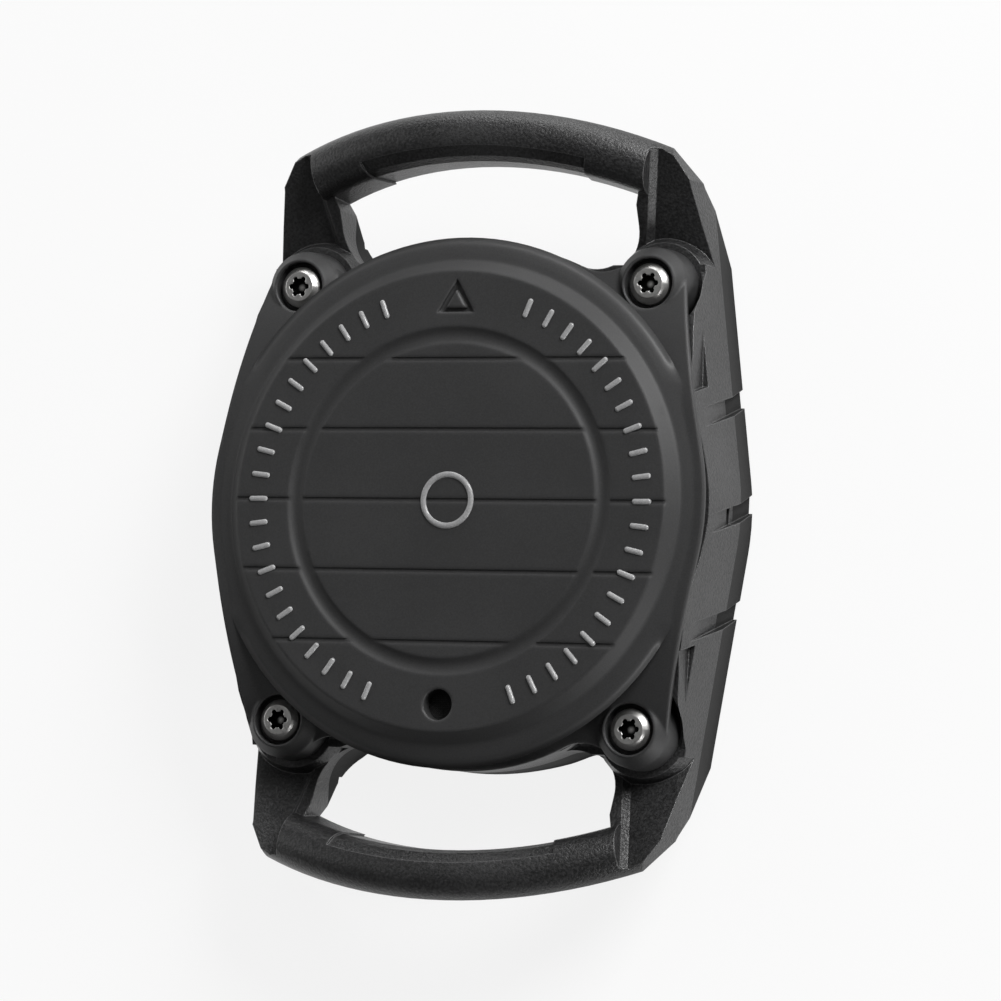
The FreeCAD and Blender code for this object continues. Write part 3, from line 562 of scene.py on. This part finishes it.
def mesh_piece(name: str, surfaces: list[Surface], material: bpy.types.Material) -> bpy.types.Object:
    """Makes one smooth-shaded object from surfaces.

    Args:
        name: Piece name.
        surfaces: Surfaces whose points become the mesh.
        material: Finish of the piece.

    Returns:
        The new object, at the origin.
    """
    points = [surface.points.reshape(-1, 3) for surface in surfaces]
    starts = np.cumsum([0, *(len(part) for part in points)])
    faces = np.concatenate([surface.faces() + start for surface, start in zip(surfaces, starts)])
    mesh = bpy.data.meshes.new(name)
    mesh.from_pydata(np.concatenate(points).tolist(), [], faces.tolist())
    mesh.validate()
    mesh.polygons.foreach_set("use_smooth", np.ones(len(mesh.polygons), dtype=bool))
    mesh.materials.append(material)
    made = bpy.data.objects.new(name, mesh)
    bpy.context.scene.collection.objects.link(made)
    LOG.info("made %s with %d faces", name, len(mesh.polygons))
    return made


def weld(piece: bpy.types.Object, name: str) -> None:
    """Merges the points of a piece that meet on a ridge or at a pole."""
    piece.modifiers.new(name, "WELD").merge_threshold = WELD_REACH


def turned_ring(profile: np.ndarray, centre: Span, steps: int, closed: bool = True) -> Surface:
    """Profile turned about an upright axis.

    The point at turn t is the axis plus the profile's radius times (cos t, sin t), at the profile's height.

    Args:
        profile: Rows of radius and height, counted so that the ring faces outwards.
        centre: Place of the axis.
        steps: Points round the ring.
        closed: Whether the profile's end joins its start.

    Returns:
        The ring's surface.
    """
    turn = np.linspace(0.0, 2.0 * np.pi, steps, endpoint=False)[:, None]
    radius, height = profile[None, :, 0], profile[None, :, 1]
    across = centre[0] + radius * np.cos(turn)
    along = centre[1] + radius * np.sin(turn)
    points = np.stack([across, along, np.broadcast_to(height, across.shape)], axis=-1)
    return Surface(points, True, closed)


def soft_section(inner: float, outer: float, low: float, high: float, power: float, steps: int) -> np.ndarray:
    """Section of a soft ring: a superellipse that fills a box with rounded corners.

    The point at angle a is the box's middle plus half its sides times the signed powers of cos a and sin a.

    Args:
        inner: Least radius.
        outer: Greatest radius.
        low: Lowest level.
        high: Highest level.
        power: Exponent of the superellipse; larger is squarer.
        steps: Points round the section.

    Returns:
        Rows of radius and height.
    """
    angle = np.linspace(0.0, 2.0 * np.pi, steps, endpoint=False)
    cosine, sine = np.cos(angle), np.sin(angle)
    wide = np.sign(cosine) * np.abs(cosine) ** (2.0 / power)
    tall = np.sign(sine) * np.abs(sine) ** (2.0 / power)
    radius = (inner + outer) / 2 + (outer - inner) / 2 * wide
    height = (low + high) / 2 + (high - low) / 2 * tall
    return np.stack([radius, height], axis=-1)


@dataclass
class SolidParts:
    """Rigid moulded and turned nodes that keep their solids and get their finishes."""

    head_seat: float = 7.9 * MM
    head_height: float = 1.1 * MM
    screw_across: float = 14.1 * MM
    screw_along: float = 16.4 * MM
    # Frame and cover edges are paler from wear and from a painted highlight; the frame's back colour is a
    # painted shade below its parting level.
    frame_finish: MouldedPlastic = MouldedPlastic(
        "frame_black_grained", deep=(0.008, 0.008, 0.0082), pale=(0.036, 0.036, 0.0366),
        worn=(0.24, 0.24, 0.242), grain_per_mm=5.0, grain_depth=0.06 * MM, rough_low=0.3, rough_high=0.42,
        edge_radius=0.14 * MM, parting=3.6 * MM)
    cover_finish: MouldedPlastic = MouldedPlastic(
        "cover_smoke_satin", deep=(0.025, 0.025, 0.0254), pale=(0.034, 0.034, 0.0345),
        worn=(0.07, 0.07, 0.071), grain_per_mm=9.0, grain_depth=0.004 * MM, rough_low=0.5, rough_high=0.6,
        edge_radius=0.42 * MM, specular=0.4)

    def dress(self, nodes: dict[str, bpy.types.Object]) -> None:
        """Gives every rigid node its material.

        Args:
            nodes: Node objects by name.
        """
        self._coat(nodes["base_frame"], self.frame_finish.material())
        self._coat(nodes["front_cover"], self.cover_finish.material())
        head_top = self.head_seat + self.head_height
        for corner, (side, end) in CORNERS.items():
            axis = (side * self.screw_across, end * self.screw_along)
            steel = PlatedSteel(f"{corner}_screw_nickel", axis, self.head_seat, head_top)
            self._coat(nodes[f"{corner}_screw"], steel.material())
            self._coat(nodes[f"{corner}_insert"], KnurledBrass(f"{corner}_insert_brass", axis).material())

    def _coat(self, node: bpy.types.Object, material: bpy.types.Material) -> None:
        """Puts a material in a node's slots.

        Args:
            node: Object of a node.
            material: Its finish.
        """
        node.data.materials.clear()
        node.data.materials.append(material)
        LOG.info("dressed %s", node.name)


@dataclass
class CoverRelief:
    """Raised plain marks on the cover: a ring of ticks and a ring in the middle."""

    face: float = 11.6 * MM
    root: float = 0.05 * MM
    tick_radius: float = 15.35 * MM
    tick_length: float = 1.5 * MM
    tick_width: float = 0.42 * MM
    tick_height: float = 0.16 * MM
    tick_crown: float = 0.7
    tick_rows: int = 7
    tick_points: int = 20
    tick_turns: Span = (22.0, 158.0)
    tick_count: int = 21
    ring_radius: float = 1.9 * MM
    ring_width: float = 0.45 * MM
    ring_height: float = 0.14 * MM
    ring_points: int = 16
    ring_steps: int = 96
    # The relief's pale colours are a painted highlight on the raised marks.
    finish: MouldedPlastic = MouldedPlastic(
        "relief_polished_painted_highlight", deep=(0.26, 0.26, 0.262), pale=(0.36, 0.36, 0.362), worn=(0.5, 0.5, 0.502),
        grain_per_mm=9.0, grain_depth=0.003 * MM, rough_low=0.14, rough_high=0.22, edge_radius=0.05 * MM)

    def build(self) -> None:
        """Makes the raised marks and lets them ride on the cover."""
        piece = mesh_piece("cover_relief", [*self.ticks(), self.ring()], self.finish.material())
        weld(piece, "closed_ridges")
        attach(piece, Body.COVER.value)

    def ticks(self) -> list[Surface]:
        """Rounded bars that point at the middle, in a right and a left row.

        A bar is a dome over a stadium: at share s from rim to top and angle a, the stadium's round ends and
        its half width shrink by the cosine of a quarter turn times s, and its height grows by a power of the
        sine. A first row on the middle line closes it underneath.

        Returns:
            One surface per bar.
        """
        quarter = 0.5 * np.pi * np.linspace(0.0, 1.0, self.tick_rows)[:, None]
        angle = np.linspace(2.0 * np.pi, 0.0, self.tick_points, endpoint=False)[None, :]
        under = np.zeros((1, 1))
        shrink = np.concatenate([under, np.cos(quarter)])
        rise = np.concatenate([under, np.sin(quarter) ** self.tick_crown])
        straight = (self.tick_length - self.tick_width) / 2
        out = self.tick_width / 2 * shrink * np.cos(angle) + straight * np.sign(np.cos(angle))
        side = self.tick_width / 2 * shrink * np.sin(angle)
        height = self.face - self.root + (self.tick_height + self.root) * rise
        turns = np.radians(np.linspace(*self.tick_turns, self.tick_count))
        turn = np.concatenate([np.pi / 2 - turns, np.pi / 2 + turns])[:, None, None]
        reach = self.tick_radius + out
        across = reach * np.cos(turn) - side * np.sin(turn)
        along = reach * np.sin(turn) + side * np.cos(turn)
        grids = np.stack([across, along, np.broadcast_to(height, across.shape)], axis=-1)
        return [Surface(grid, False, True) for grid in grids]

    def ring(self) -> Surface:
        """Round-topped ring: an ellipse turned about the middle of the cover.

        Returns:
            The ring's surface.
        """
        inner = self.ring_radius - self.ring_width / 2
        outer = self.ring_radius + self.ring_width / 2
        low = self.face - self.ring_height
        high = self.face + self.ring_height
        section = soft_section(inner, outer, low, high, ELLIPSE, self.ring_points)
        return turned_ring(section, (0.0, 0.0), self.ring_steps)


@dataclass(frozen=True)
class Stand:
    """The node that a soft piece stands for, the body that carries it and its finish slot."""

    node: str
    body: Body
    slot: Slot

    def box(self) -> tuple[np.ndarray, np.ndarray]:
        """Lowest and highest corners of the node."""
        low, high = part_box(self.node)
        return np.array(low), np.array(high)

    def bore(self) -> float:
        """Least distance of a ring node's points from its own upright axis.

        Returns:
            The inner radius.
        """
        middle = sum(self.box()) / 2
        mesh = frame["nodes"][self.node].data
        points = np.empty(3 * len(mesh.vertices))
        mesh.vertices.foreach_get("co", points)
        offset = points.reshape(-1, 3)[:, :2] - middle[:2]
        return float(np.hypot(offset[:, 0], offset[:, 1]).min())

    def take(self, piece: bpy.types.Object) -> None:
        """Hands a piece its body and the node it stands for.

        Args:
            piece: The soft piece.
        """
        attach(piece, self.body.value)
        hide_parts(self.node)


@dataclass
class SoftInside:
    """Seal, foam cushions and the sound port's cloth and tape, in place of their plain solids.

    A power says how square a section is, and a grid counts the points round a ring and round its section.
    """

    seal_finish: SoftRubber = SoftRubber(
        "seal_black_silicone", deep=(0.012, 0.012, 0.0125), dusty=(0.05, 0.05, 0.05), cell_per_mm=5.0,
        cell_depth=0.01 * MM, roughness=0.42)
    foam_finish: SoftRubber = SoftRubber(
        "cushion_grey_foam", deep=(0.02, 0.02, 0.021), dusty=(0.075, 0.075, 0.076), cell_per_mm=3.2,
        cell_depth=0.06 * MM, roughness=0.8)
    tape_finish: SoftRubber = SoftRubber(
        "tape_black_film", deep=(0.02, 0.02, 0.02), dusty=(0.06, 0.06, 0.06), cell_per_mm=2.0,
        cell_depth=0.006 * MM, roughness=0.3)
    cloth_finish: WovenMembrane = WovenMembrane("membrane_dark_weave")
    seal_power: float = 2.6
    pad_power: float = 7.0
    foam_power: float = 5.0
    tape_power: float = 8.0
    cloth_power: float = 6.0
    seal_grid: tuple[int, int] = (160, 28)
    foam_grid: tuple[int, int] = (128, 32)
    tape_grid: tuple[int, int] = (64, 24)
    disc_grid: tuple[int, int] = (96, 64)
    pole: float = 0.02 * MM

    def build(self) -> None:
        """Makes the soft pieces in the places of their solids."""
        seal = Stand("cover_seal", Body.FRAME, Slot.SEAL)
        pad = Stand("rear_cushion", Body.FRAME, Slot.CUSHION)
        foam = Stand("front_cushion", Body.COVER, Slot.CUSHION)
        tape = Stand("membrane_tape", Body.COVER, Slot.TAPE)
        cloth = Stand("sound_membrane", Body.COVER, Slot.MEMBRANE)
        foam_material = self.foam_finish.material()
        self._ring("cover_seal_lip", seal, self.seal_power, self.seal_grid, self.seal_finish.material())
        rear = self._disc("rear_foam_pad", pad, self.pad_power, foam_material)
        front = self._ring("front_foam_ring", foam, self.foam_power, self.foam_grid, foam_material)
        self._ring("port_tape_ring", tape, self.tape_power, self.tape_grid, self.tape_finish.material())
        self._disc("port_cloth", cloth, self.cloth_power, self.cloth_finish.material())

    def _ring(self, name: str, stand: Stand, power: float, grid: tuple[int, int],
              material: bpy.types.Material) -> bpy.types.Object:
        """Soft ring in the box of a ring node: a squarish section turned about the node's axis.

        Args:
            name: Piece name.
            stand: What the piece stands for.
            power: Squareness of the section.
            grid: Points round the ring and round the section.
            material: Finish.

        Returns:
            The new piece.
        """
        low, high = stand.box()
        middle = (low + high) / 2
        steps, around = grid
        section = soft_section(stand.bore(), (high[0] - low[0]) / 2, low[2], high[2], power, around)
        piece = mesh_piece(name, [turned_ring(section, (middle[0], middle[1]), steps)], material)
        stand.take(piece)
        return piece

    def _disc(self, name: str, stand: Stand, power: float, material: bpy.types.Material) -> bpy.types.Object:
        """Soft disc in the box of a disc node: half a squarish section turned about the axis that it ends on.

        Args:
            name: Piece name.
            stand: What the piece stands for.
            power: Squareness of the section.
            material: Finish.

        Returns:
            The new piece.
        """
        low, high = stand.box()
        middle = (low + high) / 2
        outer = (high[0] - low[0]) / 2
        steps, around = self.disc_grid
        section = soft_section(-outer, outer, low[2], high[2], power, around)
        half = section[section[:, 0] > self.pole]
        half = half[np.argsort(np.arctan2(half[:, 1] - middle[2], half[:, 0]))]
        profile = np.concatenate([[[0.0, low[2]]], half, [[0.0, high[2]]]])
        surface = turned_ring(profile, (middle[0], middle[1]), steps, closed=False)
        piece = mesh_piece(name, [surface], material)
        weld(piece, "closed_middle")
        stand.take(piece)
        return piece


@dataclass(frozen=True)
class Softbox:
    """Square soft lamp, with its place and side in metres and its power in watts."""

    name: str
    place: Point
    size: float
    power: float

    def hang(self, target: Vector) -> None:
        """Hangs the lamp so that it looks at a point.

        Args:
            target: The point it looks at.
        """
        data = bpy.data.lights.new(self.name, "AREA")
        data.size = self.size
        data.energy = self.power
        made = bpy.data.objects.new(self.name, data)
        made.location = self.place
        made.rotation_mode = "QUATERNION"
        made.rotation_quaternion = (target - Vector(self.place)).to_track_quat("-Z", "Y")
        bpy.context.scene.collection.objects.link(made)


@dataclass
class Studio:
    """Pale floor, soft lamps and the camera."""

    yaw: float = 23.2
    pitch: float = -5.2
    roll: float = -2.7
    distance: float = 0.356
    target: Vector = field(default_factory=lambda: Vector((0.0, 0.0, 11.6 * MM)))
    focal_pixels: float = 4827.4
    image_pixels: float = 1001.0
    middle_pixels: Span = (446.9, 500.0)
    sensor: float = 36.0
    floor_level: float = -0.2 * MM
    floor_reach: float = 3.0
    paper_bounce: float = 0.35
    paper_seen: float = 0.88
    white: Colour = (1.0, 1.0, 1.0)
    white_share: float = 0.85
    shade_reach: float = 2.5 * MM
    shade_power: float = 6.0
    world_level: float = 0.1
    lamps: tuple[Softbox, ...] = (
        Softbox("key_softbox", (0.42, 0.42, 0.34), size=0.3, power=5.5),
        Softbox("top_softbox", (-0.05, 0.62, 0.07), size=0.3, power=1.8),
        Softbox("high_softbox", (0.1, 0.35, 0.7), size=0.4, power=0.4),
        Softbox("left_softbox", (-0.6, 0.1, 0.25), size=0.4, power=0.7),
        Softbox("front_softbox", (0.5, -0.44, 0.07), size=0.2, power=2.0),
    )

    def build(self) -> None:
        """Sets the stage."""
        self.floor()
        self.world()
        for lamp in self.lamps:
            lamp.hang(self.target)
        self.camera()
        bpy.context.scene.view_settings.view_transform = "Standard"

    def floor(self) -> None:
        """Wide pale floor that the camera sees as white with a faint shadow.

        Gloss mirrors it as white too, but for the shade close to the case.
        """
        reach = self.floor_reach
        corners = [(-reach, -reach), (reach, -reach), (reach, reach), (-reach, reach)]
        mesh = bpy.data.meshes.new("floor")
        mesh.from_pydata([(x, y, self.floor_level) for x, y in corners], [], [(0, 1, 2, 3)])
        material = bpy.data.materials.new("floor_paper")
        material.use_nodes = True
        nodes = Nodes(material.node_tree)
        path = nodes.node("ShaderNodeLightPath", {}, {}).outputs
        seen = Shade(nodes, path["Is Camera Ray"])
        mirrored = Shade(nodes, path["Is Glossy Ray"])
        near = {"Distance": self.shade_reach}
        clear = nodes.shade("ShaderNodeAmbientOcclusion", {"samples": 8}, near, "AO")
        white = seen * self.white_share + mirrored * clear ** self.shade_power
        grey = seen * (self.paper_seen - self.paper_bounce) + self.paper_bounce
        paper = nodes.node("ShaderNodeBsdfDiffuse", {}, {"Color": grey}).outputs[0]
        glow = nodes.node("ShaderNodeEmission", {}, {}).outputs[0]
        mix = nodes.node("ShaderNodeMixShader", {}, {0: white, 1: paper, 2: glow}).outputs[0]
        nodes.node("ShaderNodeOutputMaterial", {}, {"Surface": mix})
        mesh.materials.append(material)
        made = bpy.data.objects.new("floor", mesh)
        bpy.context.scene.collection.objects.link(made)

    def world(self) -> None:
        """Even grey surroundings that the camera sees as white."""
        world = bpy.data.worlds.new("studio")
        bpy.context.scene.world = world
        world.use_nodes = True
        nodes = Nodes(world.node_tree)
        seen = nodes.node("ShaderNodeLightPath", {}, {}).outputs["Is Camera Ray"]
        dim = {"Color": self.white, "Strength": self.world_level}
        soft = nodes.node("ShaderNodeBackground", {}, dim).outputs[0]
        white = nodes.node("ShaderNodeBackground", {}, {"Color": self.white}).outputs[0]
        mix = nodes.node("ShaderNodeMixShader", {}, {0: seen, 1: soft, 2: white}).outputs[0]
        nodes.node("ShaderNodeOutputWorld", {}, {"Surface": mix})

    def camera(self) -> None:
        """Long-lens camera at the photograph's angle, aimed so that the case keeps its place in the image."""
        yaw, pitch, roll = (math.radians(angle) for angle in (self.yaw, self.pitch, self.roll))
        turn = Matrix.Rotation(roll, 3, "Z") @ Matrix.Rotation(pitch, 3, "X") @ Matrix.Rotation(-yaw, 3, "Y")
        right, up, back = (Vector(row) for row in turn)
        place = self.target + self.distance * back
        aside = (self.image_pixels / 2 - self.middle_pixels[0]) / self.focal_pixels
        above = (self.middle_pixels[1] - self.image_pixels / 2) / self.focal_pixels
        back = (back - aside * right - above * up).normalized()
        right = up.cross(back).normalized()
        up = back.cross(right)
        data = bpy.data.cameras.new("camera")
        data.sensor_width = self.sensor
        data.lens = self.sensor * self.focal_pixels / self.image_pixels
        made = bpy.data.objects.new("camera", data)
        made.matrix_world = Matrix.Translation(place) @ Matrix((right, up, back)).transposed().to_4x4()
        bpy.context.scene.collection.objects.link(made)
        bpy.context.scene.camera = made


def main() -> None:
    """Builds and dresses the holder, then sets the stage."""
    logging.basicConfig(level=logging.INFO)
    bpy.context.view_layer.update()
    SolidParts().dress(frame["nodes"])
    CoverRelief().build()
    SoftInside().build()
    Studio().build()


if __name__ == "__main__":
    main()
